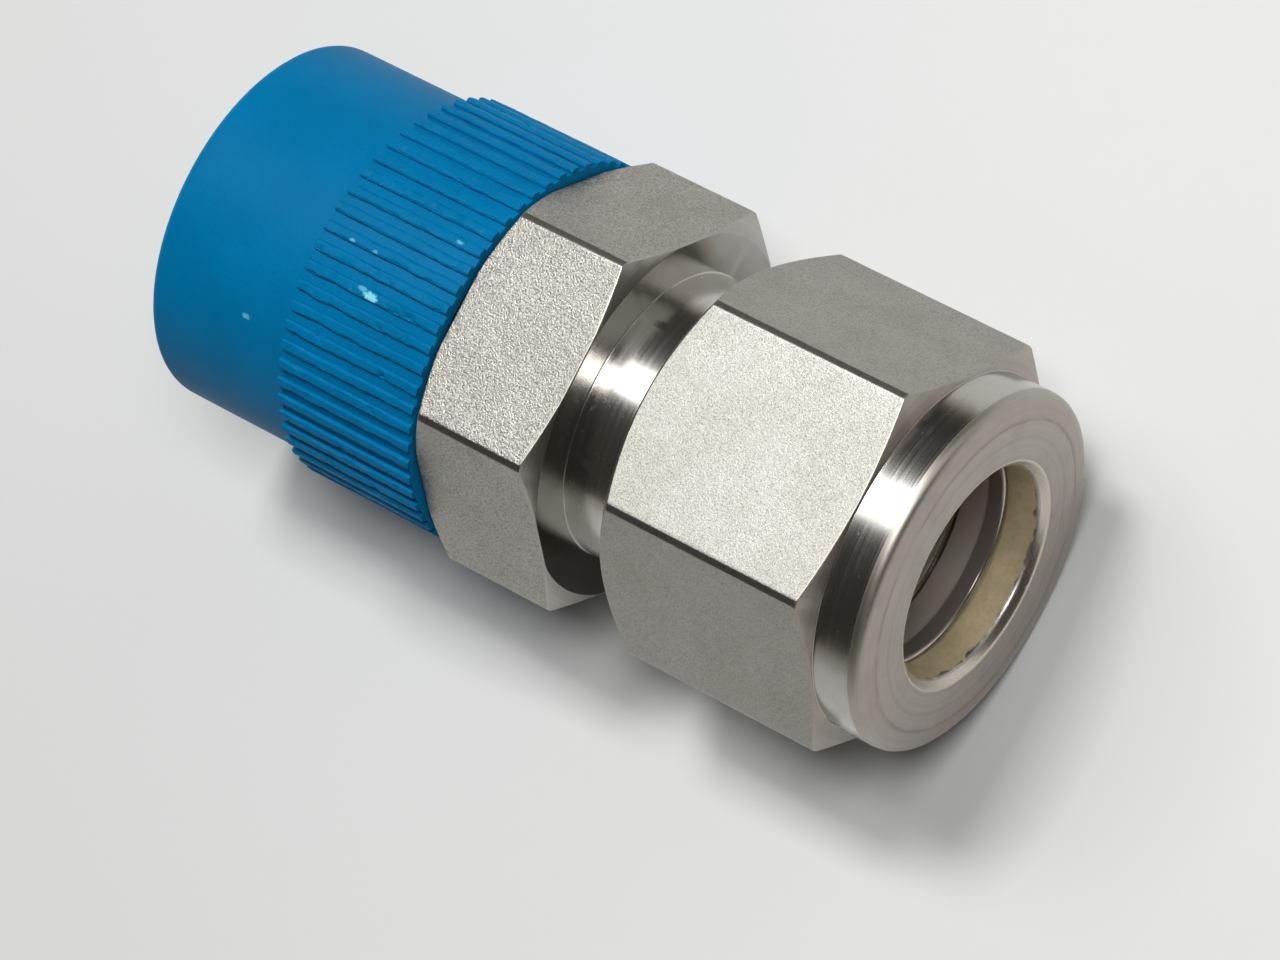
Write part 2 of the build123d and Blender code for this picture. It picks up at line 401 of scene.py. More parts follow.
def finish_polished(name, colour, roughness, ring_depth=0.0008, ring_gloss=0.06, nick=None):
    """Turned and polished steel: fine rings round the axis, faint haze and hair scratches.

    ring_gloss is how far the rings change the roughness, and nick is the place of a dent.
    """
    steel = Finish(name)
    rings = steel.tool_marks(0.13, 3.0)
    haze = steel.noise(2.2, 3.0, 0.6, shift=3.0)
    tilted = steel.vector(steel.x * 0.9, steel.y * 0.35 + steel.z * 1.1, steel.z * 0.3)
    hairs = steel.noise(0.22, 2.0, 0.5, place=tilted, shift=6.0).ramp(0.68, 0.74)
    tone = steel.mix(haze.ramp(0.3, 0.75), rgba(colour, 1.0), rgba(colour, 0.90))
    height = rings + hairs * 2.0
    rough = roughness + haze.ramp(0.45, 0.8) * 0.06 + (rings - 0.5) * 2.0 * ring_gloss + hairs * 0.10
    if nick:
        dent = steel.spot(nick, 0.55)
        # The dent is painted darker as well as pressed in.
        tone = steel.mix(dent * 0.5, tone, rgba(colour, 0.4))
        rough = rough + dent * 0.25
        height = height - dent * 40.0
    steel.set(base_color=tone, metallic=1.0, roughness=rough.most(0.04).least(1.0))
    steel.relief(height, ring_depth)
    return steel.material


def finish_edge(name, colour):
    """Edges rounded by tumbling: smooth, with small dents, and painted darker than the steel as a painted
    reflection of the dark room; darker and browner still in the dents.
    """
    steel = Finish(name)
    dents = steel.noise(0.45, 3.0, 0.6)
    browned = rgba((colour[0], colour[1] * 0.9, colour[2] * 0.85), 0.42)
    # Painted reflection: the edges are painted darker than the steel, for the dark room that they reflect.
    steel.set(
        base_color=steel.mix(dents.ramp(0.45, 0.75), rgba(colour, 0.66), browned),
        metallic=1.0, roughness=0.24 + dents * 0.24)
    steel.relief(dents, 0.012)
    return steel.material


def finish_faced(name, colour, roughness=0.44):
    """Matt faced end: uneven rings from the facing tool, a darker broken ring near radius 9.4 and dull
    clouds.
    """
    steel = Finish(name)
    rings = steel.tool_marks(0.20, 4.0)
    bands = steel.tool_marks(0.9, 2.0, shift=40.0)
    cloud = steel.noise(1.4, 3.0, 0.6, shift=5.0)
    patches = steel.noise(3.0, 2.0, 0.6, shift=15.0)
    tone = steel.mix(rings.ramp(0.35, 0.70), rgba(colour, 0.93), rgba(colour, 1.04))
    browned = rgba((colour[0] * 0.82, colour[1] * 0.74, colour[2] * 0.80))
    tone = steel.mix(bands.ramp(0.45, 0.65) * 0.35, tone, browned)
    wobbly = steel.radius + (cloud - 0.5) * 0.35
    # A darker ring near radius 9.4, broken in places and pressed in as a shallow groove.
    line = wobbly.ramp(9.30, 9.42) * wobbly.ramp(9.62, 9.48) * patches.ramp(0.38, 0.55)
    tone = steel.mix(line * 0.5, tone, STAIN)
    steel.set(
        base_color=steel.mix(cloud.ramp(0.4, 0.8) * 0.35, tone, rgba(colour, 0.72)),
        metallic=1.0, roughness=(roughness + (rings - 0.5) * 0.16 + (cloud - 0.5) * 0.14).held())
    steel.relief(rings + cloud * 0.5 - line * 0.5, 0.0035)
    return steel.material


def finish_plated(name, colour, steel_colour):
    """Bore with a dull yellowish film, worn through in patches and raggedly along its mouth."""
    film = Finish(name)
    grain = film.noise(0.30, 3.0, 0.6)
    patchy = film.noise(0.9, 4.0, 0.65, shift=6.0)
    worn = patchy.ramp(0.62, 0.70) * 0.6
    mouth = (film.x + (patchy - 0.5) * 1.3).ramp(NUT_FRONT - 0.62, NUT_FRONT - 0.46)
    bare = worn.most(mouth)
    cloud = film.noise(1.8, 2.0, 0.5, shift=1.0)
    tone = film.mix(cloud.ramp(0.3, 0.7), rgba(colour, 0.86), rgba(colour, 1.08))
    tone = film.mix(grain.ramp(0.55, 0.35) * 0.25, tone, rgba(colour, 0.55))
    film.set(
        base_color=film.mix(bare, tone, rgba(steel_colour, 0.75)),
        metallic=0.2 + bare * 0.75, roughness=(0.50 + (grain - 0.5) * 0.3 - bare * 0.15).held())
    film.relief(grain - bare * 0.8, 0.010)
    return film.material


def finish_bored(name, colour, roughness, burnished_from=99.0):
    """Bored steel inside the fitting: rings from the boring bar, and past a place on X a painted shade,
    where the steel is painted dark and made smoother.
    """
    steel = Finish(name)
    rings = steel.tool_marks(0.20, 3.0)
    cloud = steel.noise(1.5, 2.0, 0.5)
    # Painted shade: the bore is painted dark past this place, where it lies in shade.
    burnished = steel.x.ramp(burnished_from - 0.12, burnished_from + 0.12)
    tone = steel.mix(rings, rgba(colour, 0.78), rgba(colour, 1.0))
    steel.set(
        base_color=steel.mix(burnished * 0.8, tone, rgba(colour, 0.25)),
        metallic=0.6, roughness=(roughness + rings * 0.14 + (cloud - 0.5) * 0.1 - burnished * 0.2).held())
    steel.relief(rings, 0.005)
    return steel.material


def finish_thread(name, colour):
    """Cut thread flanks: semi-bright steel with chatter, which greys it in patches."""
    steel = Finish(name)
    chatter = steel.noise(0.35, 3.0, 0.6)
    steel.set(
        base_color=steel.mix(chatter.ramp(0.35, 0.75), rgba(colour, 0.96), rgba(colour, 0.72)),
        metallic=1.0, roughness=0.24 + chatter * 0.16)
    steel.relief(chatter, 0.006)
    return steel.material


def finish_polyethylene(name, colour, ribbed=False):
    """Blue polyethylene: soft sheen, faint mould texture, lighter scuffs and flecks of worn skin; the plain
    cup also gets a painted highlight along the rim of its closed end.
    """
    plastic = Finish(name)
    skin = plastic.noise(0.22, 3.0, 0.6)
    cloud = plastic.noise(4.0, 3.0, 0.5, shift=3.0)
    along = plastic.vector(plastic.x * 0.40, plastic.y, plastic.z)
    scuffs = plastic.noise(0.45, 4.0, 0.7, place=along, shift=11.0)
    tone = plastic.mix(cloud.ramp(0.3, 0.7), rgba(colour, 0.94), rgba(colour, 1.05))
    tone = plastic.mix(skin.ramp(0.58, 0.42) * 0.22, tone, rgba(colour, 0.78))
    if ribbed:
        where = plastic.noise(3.2, 2.0, 0.5, shift=21.0).ramp(0.42, 0.62)
        pale = scuffs.ramp(0.60, 0.74) * plastic.radius.ramp(11.78, 11.92) * where
        marks = RIB_MARKS
    else:
        pale = scuffs.ramp(0.68, 0.78) * 0.35
        # Painted highlight: the rounded rim of the closed end is painted lighter blue, as if lit from
        # behind.
        pale = pale.most(plastic.x.ramp(CAP_END + 0.45, CAP_END + 0.15) * (0.7 + (scuffs - 0.5)))
        marks = CUP_MARKS
    tone = plastic.mix(pale * 0.35, tone, SCUFFED_BLUE)
    mark = 0.0
    for k, (place, size, strength) in enumerate(marks):
        mark = plastic.spot(place, size, shift=3.0 + k) * strength + mark
    tone = plastic.mix(mark.held(), tone, TORN_BLUE)
    plastic.set(
        base_color=tone, specular_ior_level=0.04,
        roughness=(0.44 + (skin - 0.5) * 0.18 + pale * 0.2).held())
    plastic.relief(skin + scuffs * 0.6, 0.010)
    return plastic.material


# ---------------------------------------------------------------- turned shells


def eased(corners, closed=True, steps=4):
    """Rounds the corners of an outline.

    A corner is (x, radius, easing, finish): the finish is that of the run that starts there,
    and of the rounding before it. Returns the points and one finish for each run.
    """
    points, finishes = [], []
    count = len(corners)
    for i, (x, r, ease, finish) in enumerate(corners):
        here = Vector((x, r))
        before, after = corners[i - 1], corners[(i + 1) % count]
        back, on = Vector(before[:2]) - here, Vector(after[:2]) - here
        ends = not closed and i in (0, count - 1)
        if ease <= 0 or ends:
            points.append(here)
            finishes.append(finish)
            continue
        if back.length < 1e-6 or on.length < 1e-6:
            reach = 0.0
        else:
            half = back.angle(on) / 2
            reach = ease / tan(half) if half < 1.55 else 0.0
            reach = min(reach, back.length * 0.45, on.length * 0.45)
        first = here + back.normalized() * reach if reach else here
        last = here + on.normalized() * reach if reach else here
        for k in range(steps + 1):
            t = k / steps
            points.append(first * (1 - t) ** 2 + here * (2 * t * (1 - t)) + last * t * t)
            finishes.append(finish)
    return points, finishes


class Hexagon:
    """Section of a hexagonal bar with narrow facets along its edges, softened into the flats.

    One flat is square to Z before the bar is turned.
    """

    def __init__(self, across, edge_width, turn=0.0, flat_steps=20):
        self.half = across / 2
        self.turn = turn
        self.facet = self.half / cos(radians(30)) - edge_width / 2 / tan(radians(60))
        self.edge_angle = atan(edge_width / 2 / self.facet)
        soft = [self.edge_angle + radians(d) for d in (-0.70, -0.40, -0.15, 0.0, 0.15, 0.45, 0.90)]
        span = radians(60) - 2 * soft[-1]
        sector = [-a for a in reversed(soft)] + soft
        sector += [soft[-1] + span * k / flat_steps for k in range(1, flat_steps)]
        self.angles = [turn + radians(60 * i) + a for i in range(6) for a in sector]
        low, high = -self.edge_angle - 1e-6, self.edge_angle - 1e-6
        self.eased = [low <= a < high for i in range(6) for a in sector]

    def radius(self, angle):
        from_corner = (angle - self.turn + radians(30)) % radians(60) - radians(30)
        flat = self.half / cos(radians(30) - abs(from_corner))
        facet = self.facet / cos(from_corner)
        soft = 0.020
        least = min(flat, facet)
        return least - soft * log(exp((least - flat) / soft) + exp((least - facet) / soft))


class Round:
    """Section of a plain turned piece."""

    def __init__(self, steps=180):
        self.angles = [2 * pi * i / steps for i in range(steps)]
        self.eased = [False] * steps

    def radius(self, angle):
        return 0.0


def shell(name, section, outline, finishes, closed=True, steps=4):
    """Turns an outline about X. outline(r) gives its corners where the bar's section has radius r.

    finishes maps each finish's name to its material. A run named "flat" takes the finish
    "edge" where the bar's own edge is eased.
    """
    names = list(finishes)
    mesh = bpy.data.meshes.new(name)
    for finish in names:
        mesh.materials.append(finishes[finish])
    form = bmesh.new()
    rings = []
    for angle in section.angles:
        points, runs = eased(outline(section.radius(angle)), closed, steps)
        rings.append(
            [form.verts.new((x * MM, r * MM * cos(angle), r * MM * sin(angle))) for x, r in points])
    count = len(rings[0])
    for i, ring in enumerate(rings):
        following = rings[(i + 1) % len(rings)]
        for j in range(count if closed else count - 1):
            k = (j + 1) % count
            face = form.faces.new((ring[j], ring[k], following[k], following[j]))
            run = runs[j]
            if run.startswith("flat") and section.eased[i]:
                run = "edge"
            face.material_index = names.index(run)
            face.smooth = True
    bmesh.ops.remove_doubles(form, verts=form.verts, dist=1e-8)
    bmesh.ops.dissolve_degenerate(form, edges=form.edges, dist=1e-8)
    bmesh.ops.recalc_face_normals(form, faces=form.faces)
    form.to_mesh(mesh)
    form.free()
    mesh.set_sharp_from_angle(angle=radians(28))
    piece = bpy.data.objects.new(name, mesh)
    bpy.context.scene.collection.objects.link(piece)
    weigh = piece.modifiers.new("even shading", "WEIGHTED_NORMAL")
    weigh.keep_sharp = True
    weigh.weight = 100
    keep_result(piece)
    return piece


def keep_result(piece):
    """Turns what the piece's modifiers give into its own plain mesh, and removes them."""
    bpy.context.view_layer.update()
    done = piece.evaluated_get(bpy.context.evaluated_depsgraph_get())
    mesh = bpy.data.meshes.new_from_object(done)
    mesh.name = piece.name
    piece.modifiers.clear()
    piece.data = mesh


# ---------------------------------------------------------------- node-grown parts


class Growth(Bench):
    """A Geometry Nodes tree on the bench, with named inputs."""

    KINDS = {float: "NodeSocketFloat", int: "NodeSocketInt", bpy.types.Material: "NodeSocketMaterial"}

    def __init__(self, name, inputs):
        super().__init__(bpy.data.node_groups.new(name, "GeometryNodeTree"))
        self.values = inputs
        for label, value in inputs.items():
            self.tree.interface.new_socket(label, in_out="INPUT", socket_type=self.KINDS[type(value)])
        self.tree.interface.new_socket("Geometry", in_out="OUTPUT", socket_type="NodeSocketGeometry")
        self.given = self.add("NodeGroupInput")

    def __getitem__(self, label):
        return self.given[label]

    def finish(self, geometry):
        """Ends the tree and returns the piece that it grows, as a plain mesh."""
        real = self.add("GeometryNodeRealizeInstances", None, {"Geometry": geometry})[0]
        smooth = self.add("GeometryNodeSetShadeSmooth", None, {"Geometry": real, "Shade Smooth": True})[0]
        done = self.add(
            "GeometryNodeSetMaterial", None, {"Geometry": smooth, "Material": self["Material"]})[0]
        self.add("NodeGroupOutput", None, {"Geometry": done})
        piece = bpy.data.objects.new(self.tree.name, bpy.data.meshes.new(self.tree.name))
        bpy.context.scene.collection.objects.link(piece)
        modifier = piece.modifiers.new("growth", "NODES")
        modifier.node_group = self.tree
        for item in self.tree.interface.items_tree:
            if item.in_out == "INPUT":
                modifier[item.identifier] = self.values[item.name]
        keep_result(piece)
        form = bmesh.new()
        form.from_mesh(piece.data)
        bmesh.ops.remove_doubles(form, verts=form.verts, dist=1e-7)
        bmesh.ops.recalc_face_normals(form, faces=form.faces)
        form.to_mesh(piece.data)
        form.free()
        piece.data.set_sharp_from_angle(angle=radians(30))
        return piece


def thread(name, material, pitch, start, end, root, crest, start_cut, end_cut, steps,
           taper=0.0, crest_limit=99.0, crest_width=0.16, phase=0.0, inward=False):
    """A right-hand V thread from start to end along X, as one ridge that follows a helix.

    The ridge's foot lies just under the root and its top is trimmed to the crest. start_cut and
    end_cut are the radii to which 45-degree chamfers trim it at the two ends. A taper is the
    radius gained along X. An inward thread is trimmed the other way. Sizes are in millimetres.
    """
    sign = -1.0 if inward else 1.0
    turns = (end - start) / pitch + 2.0
    growth = Growth(name, {
        "Pitch": pitch * MM, "Start": start * MM, "End": end * MM,
        "Root radius": root * MM, "Crest radius": crest * MM,
        "Start cut": start_cut * MM, "End cut": end_cut * MM, "Taper": taper,
        "Crest limit": crest_limit * MM, "Crest width": crest_width * MM, "Phase": phase,
        "Steps": int(steps), "Turns": float(turns), "Material": material,
    })
    step = growth.add("GeometryNodeInputIndex")[0] / growth["Steps"]
    count = growth.add("FunctionNodeFloatToInt", None, {0: growth["Turns"] * growth["Steps"]})[0]
    line = growth.add("GeometryNodeMeshLine", None, {"Count": count})[0]
    x = growth["Start"] - growth["Pitch"] + step * growth["Pitch"]
    angle = step * (2 * pi) + growth["Phase"]
    y, z = angle.math("COSINE", angle), angle.math("SINE", angle)
    foot = growth["Root radius"] + (x - growth["Start"]) * growth["Taper"] - sign * 0.06 * MM
    place = growth.vector(x, y * foot, z * foot)
    line = growth.add("GeometryNodeSetPosition", None, {"Geometry": line, "Position": place})[0]
    path = growth.add("GeometryNodeMeshToCurve", None, {"Mesh": line})[0]
    px, py, pz = growth.parts(growth.add("GeometryNodeInputPosition")[0])
    path = growth.add("GeometryNodeSetCurveNormal", {"mode": "FREE"}, {
        "Curve": path, "Normal": growth.vector(0.0, py, pz)})[0]
    height = (growth["Crest radius"] - growth["Root radius"]) * sign + 0.30 * MM
    foot_width = growth["Crest width"] + height * (2 * tan(radians(30)))
    # The section's far side is its top, and its sides are the two flanks.
    section = growth.add("GeometryNodeCurvePrimitiveQuadrilateral", {"mode": "POINTS"}, {
        "Point 1": growth.vector(0.0, foot_width * -0.5, 0.0),
        "Point 2": growth.vector(height * sign, growth["Crest width"] * -0.5 + 0.12 * MM, 0.0),
        "Point 3": growth.vector(height * sign, growth["Crest width"] * 0.5 - 0.12 * MM, 0.0),
        "Point 4": growth.vector(0.0, foot_width * 0.5, 0.0),
    })[0]
    section = growth.add("GeometryNodeResampleCurve", None, {"Curve": section, "Count": 24})[0]
    ridge = growth.add(
        "GeometryNodeCurveToMesh", None, {"Curve": path, "Profile Curve": section, "Fill Caps": True})[0]
    # Trim the ridge to its crest, its two chamfers and its two ends.
    inside = px.most(growth["Start"]).least(growth["End"])
    radius = (py * py + pz * pz) ** 0.5
    along = inside - growth["Start"]
    limit = growth["Crest radius"] + along * growth["Taper"]
    if inward:
        limit = limit.most(growth["Start cut"] - along).most(growth["End cut"] - (growth["End"] - inside))
        trimmed = radius.most(limit)
    else:
        limit = limit.least(growth["Crest limit"])
        limit = limit.least(growth["Start cut"] + along).least(growth["End cut"] + (growth["End"] - inside))
        trimmed = radius.least(limit)
    share = trimmed / radius
    ridge = growth.add("GeometryNodeSetPosition", None, {
        "Geometry": ridge, "Position": growth.vector(inside, py * share, pz * share)})[0]
    return growth.finish(ridge)


def grip_ribs(name, material, settings, start, end, root, top):
    """Ribs along the cap, evenly spaced round it, each a little out of true."""
    growth = Growth(name, {
        "Ribs": settings.ribs, "Start": start * MM, "End": end * MM, "Root radius": root * MM,
        "Top radius": top * MM, "Foot width": 1.17 * MM, "Top width": 0.46 * MM, "Wobble": settings.wobble,
        "First rib": RIB_TURN, "Seed": float(settings.seed), "Material": material,
    })
    line = growth.add("GeometryNodeCurvePrimitiveLine", None, {
        "Start": growth.vector(growth["Start"], 0.0, 0.0),
        "End": growth.vector(growth["End"], 0.0, 0.0)})[0]
    line = growth.add("GeometryNodeResampleCurve", None, {"Curve": line, "Count": 64})[0]
    line = growth.add(
        "GeometryNodeSetCurveNormal", {"mode": "FREE"}, {"Curve": line, "Normal": (0.0, 1.0, 0.0)})[0]
    foot = growth["Root radius"] - 0.05 * MM
    section = growth.add("GeometryNodeCurvePrimitiveQuadrilateral", {"mode": "POINTS"}, {
        "Point 1": growth.vector(foot, growth["Foot width"] * -0.5, 0.0),
        "Point 2": growth.vector(growth["Top radius"], growth["Top width"] * -0.5, 0.0),
        "Point 3": growth.vector(growth["Top radius"], growth["Top width"] * 0.5, 0.0),
        "Point 4": growth.vector(foot, growth["Foot width"] * 0.5, 0.0),
    })[0]
    section = growth.add("GeometryNodeFilletCurve", {"mode": "POLY"}, {
        "Curve": section, "Count": 5, "Radius": 0.30 * MM, "Limit Radius": True})[0]
    rib = growth.add(
        "GeometryNodeCurveToMesh", None, {"Curve": line, "Profile Curve": section, "Fill Caps": True})[0]
    posts = growth.add(
        "GeometryNodeMeshLine", None, {"Count": growth["Ribs"], "Offset": (0.0, 0.0, 0.0)})[0]
    turn = growth.add("GeometryNodeInputIndex")[0] * (2 * pi) / growth["Ribs"] + growth["First rib"]
    ring = growth.add("GeometryNodeInstanceOnPoints", None, {
        "Points": posts, "Instance": rib, "Rotation": growth.vector(turn, 0.0, 0.0)})[0]
    ring = growth.add("GeometryNodeRealizeInstances", None, {"Geometry": ring})[0]
    px, py, pz = growth.parts(growth.add("GeometryNodeInputPosition")[0])
    radius = (py * py + pz * pz) ** 0.5
    waves = growth.add("ShaderNodeTexNoise", {"noise_dimensions": "4D"}, {
        "Vector": growth.vector(px * (0.7 / MM), py * (1.3 / MM), pz * (1.3 / MM)),
        "W": growth["Seed"], "Scale": 1.0, "Detail": 4.0, "Roughness": 0.62})[0] - 0.5
    nicks = growth.add("ShaderNodeTexNoise", {"noise_dimensions": "4D"}, {
        "Vector": growth.vector(px * (1.1 / MM), py * (2.6 / MM), pz * (2.6 / MM)),
        "W": growth["Seed"] + 5.0, "Scale": 1.0, "Detail": 1.0})[0]
    swing = waves * growth["Wobble"] * 2.2
    dip = (waves.math("ABSOLUTE", waves) * 0.8 + nicks.ramp(0.60, 0.80) * 0.9) * growth["Wobble"]
    top_share = ((radius - growth["Root radius"]) / (growth["Top radius"] - growth["Root radius"])).held()
    share = 1.0 - dip * top_share / radius
    place = growth.vector(
        px, py * share - pz / radius * swing * top_share, pz * share + py / radius * swing * top_share)
    ring = growth.add("GeometryNodeSetPosition", None, {"Geometry": ring, "Position": place})[0]
    return growth.finish(ring)


# ---------------------------------------------------------------- the pieces


def settings():
    return bpy.context.scene.fitting


class FittingSettings(PropertyGroup):
    """Everything that can be changed about the fitting."""

    steel: PointerProperty(type=SteelSettings, name="Steel", description="Finish of the steel")
    threads: PointerProperty(type=ThreadSettings, name="Threads", description="Sizes of the threads")
    cap: PointerProperty(type=CapSettings, name="Cap", description="Look of the cap")
    stage: PointerProperty(type=StageSettings, name="Stage", description="Floor, light and camera")


class FITTING_OT_stage(Operator):
    """Set the floor, the room, the lamps and the camera"""

    bl_idname = "fitting.stage"
    bl_label = "Stage"

    def execute(self, context):
        stage = settings().stage
        context.scene.view_settings.view_transform = "Standard"
        self.lay_floor(context, stage)
        self.light(context, stage)
        self.set_camera(context, stage)
        return {"FINISHED"}

    @staticmethod
    def lay_floor(context, stage):
        paper = Finish("floor_paper")
        fibres = paper.noise(0.9, 3.0, 0.6)
        # Painted light: the paper is painted a little brighter towards the far right, where more of the
        # room's light falls.
        far = (paper.x * 0.6 + paper.y * 0.9) / 110.0 + 0.5
        tone = paper.mix(far.held(), rgba(stage.paper, 0.93), rgba(stage.paper, 1.06))
        tone = paper.mix(paper.noise(60.0, 2.0, 0.5, shift=2.0) * 0.05, tone, rgba(stage.paper, 0.9))
        paper.set(base_color=tone, roughness=0.85, specular_ior_level=0.2)
        paper.relief(fibres, 0.02, 0.4)
        mesh = bpy.data.meshes.new("floor")
        # The part lies on its cap's ribs and on the front edge of the nut's lowest flat, so the
        # floor slopes: it is at its low height under the mouth of the cap.
        reach, low, slope, low_place = 1.6, -12.02 * MM, 0.0323, -7.8 * MM
        mesh.from_pydata(
            [(x, y, low + slope * (x - low_place)) for x, y in
             ((-reach, -reach), (reach, -reach), (reach, reach), (-reach, reach))], [], [(0, 1, 2, 3)])
        mesh.materials.append(paper.material)
        floor = bpy.data.objects.new("floor", mesh)
        context.scene.collection.objects.link(floor)

    @staticmethod
    def light(context, stage):
        world = bpy.data.worlds.new("room")
        world.use_nodes = True
        context.scene.world = world
        bench = Bench(world.node_tree)
        z = bench.parts(bench.add("ShaderNodeTexCoord")["Generated"])[2]
        sweep = 1.0 - z.ramp(0.02, 0.09)
        level = stage.room + sweep * (stage.horizon - stage.room)
        background = world.node_tree.nodes["Background"]
        world.node_tree.links.new(level.socket, background.inputs["Strength"])
        background.inputs["Color"].default_value = rgba(stage.room_colour)
        # The main lamp throws the shadows and the side lamp makes the highlights on the steel.
        # The fill lamp lights the nut's face. These three point straight down. The window is a
        # weak light far to the right, turned to the part.
        for name, place, wide, deep, power in (
                ("main_lamp", (-0.165, 0.285, 0.90), 0.22, 0.22, stage.main_lamp),
                ("side_lamp", (-0.48, 0.17, 0.90), 0.46, 0.38, stage.side_lamp),
                ("fill_lamp", (0.30, 0.08, 0.90), 0.34, 0.30, stage.fill_lamp),
                ("window", (0.54, 0.86, 0.64), 0.90, 0.90, stage.window)):
            lamp = bpy.data.lights.new(name, "AREA")
            lamp.shape = "RECTANGLE"
            lamp.size = wide
            lamp.size_y = deep
            lamp.energy = power
            panel = bpy.data.objects.new(name, lamp)
            panel.location = place
            if name == "window":
                panel.rotation_euler = Vector(place).to_track_quat("Z", "Y").to_euler()
            context.scene.collection.objects.link(panel)

    @staticmethod
    def set_camera(context, stage):
        lens = bpy.data.cameras.new("camera")
        lens.sensor_width = 36.0
        lens.lens = stage.lens
        lens.clip_start = 0.01
        camera = bpy.data.objects.new("camera", lens)
        right = Vector(CAMERA_RIGHT).normalized()
        back = Vector(CAMERA_BACK).normalized()
        up = back.cross(right).normalized()
        right = up.cross(back)
        turn = Matrix((right, up, back)).transposed().to_4x4()
        camera.matrix_world = Matrix.Translation(Vector(stage.camera_place)) @ turn
        context.scene.collection.objects.link(camera)
        context.scene.camera = camera


class FITTING_OT_body(Operator):
    """Make the connector body with its hexagon, socket, nose thread and pipe thread"""

    bl_idname = "fitting.body"
    bl_label = "Connector body"

    def execute(self, context):
        steel, threads = settings().steel, settings().threads
        cut = finish_thread("thread_steel", steel.colour)
        finishes = {
            # Painted light: the body's flats are painted 7 % brighter than the bar stock, for how the lamps
            # fall on its slightly turned hexagon.
            "flat": finish_bar_stock(
                "bar_stock_coarse", rgba(steel.flat_colour, 1.07), steel.body_grain / MM,
                depth=0.037, roughness=0.44, contrast=1.6),
            "edge": finish_edge("body_edge_steel", steel.colour),
            "polished": finish_polished("polished_steel", steel.colour, roughness=0.19),
            "mirror": finish_polished(
                "mirror_steel", (0.42, 0.405, 0.375), roughness=0.18, ring_depth=0.0002, ring_gloss=0.02),
            "chamfer": finish_faced("chamfer_steel", steel.flat_colour, roughness=0.36),
            "bored": finish_bored("bored_steel", (0.62, 0.57, 0.52), roughness=0.32),
            "thread": cut,
        }
        back_tan, front_tan = tan(radians(30)), tan(radians(18))

        def outline(bar):
            back_r, front_r = min(11.30, bar - 0.10), min(11.20, bar - 0.10)
            return [
                (PIPE_END, FLOW_R, 0.05, "polished"),
                (PIPE_END, 8.95, 0.10, "thread"),
                (PIPE_END + 0.35, 8.86, 0.0, "thread"),
                (-12.60, 9.30, 0.30, "thread"),
                (SHANK_START, SHANK_R, 0.40, "polished"),
                (HEX_BACK, SHANK_R, 0.08, "polished"),
                (HEX_BACK, back_r, 0.10, "chamfer"),
                (HEX_BACK + (bar - back_r) * back_tan, bar, 0.14, "flat"),
                (HEX_FRONT - (bar - front_r) * front_tan, bar, 0.14, "chamfer"),
                (HEX_FRONT, front_r, 0.12, "mirror"),
                (HEX_FRONT, NECK_R, 0.08, "polished"),
                (THREAD_FOOT, NECK_R, 0.10, "thread"),
                (NOSE_FACE - 0.75, NECK_R, 0.0, "thread"),
                (NOSE_FACE, 8.70, 0.08, "polished"),
                (NOSE_FACE, MOUTH_R, 0.05, "polished"),
                (SOCKET_END, SOCKET_R, 0.0, "bored"),
                (0.0, SOCKET_R, 0.0, "bored"),
                (0.0, FLOW_R, 0.08, "bored"),
            ]

        bar_section = Hexagon(ACROSS_FLATS, EDGE_WIDTH, BODY_TURN)
        body = shell("connector_body_steel", bar_section, outline, finishes)
        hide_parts("connector_body")
        nose = thread(
            "nose_thread", cut, threads.nut_pitch / MM, THREAD_FOOT, NOSE_FACE - 0.02,
            root=NECK_R, crest=NOSE_THREAD_R, start_cut=8.78, end_cut=8.79, steps=threads.steps)
        pipe = thread(
            "pipe_thread", cut, threads.pipe_pitch / MM, PIPE_END + 0.02, SHANK_START + 0.20,
            root=PIPE_THREAD_R, crest=10.30, start_cut=9.20, end_cut=SHANK_R, steps=threads.steps,
            taper=PIPE_TAPER, crest_limit=SHANK_R, crest_width=0.10)
        for piece in (body, nose, pipe):
            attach(piece, "connector")
        return {"FINISHED"}


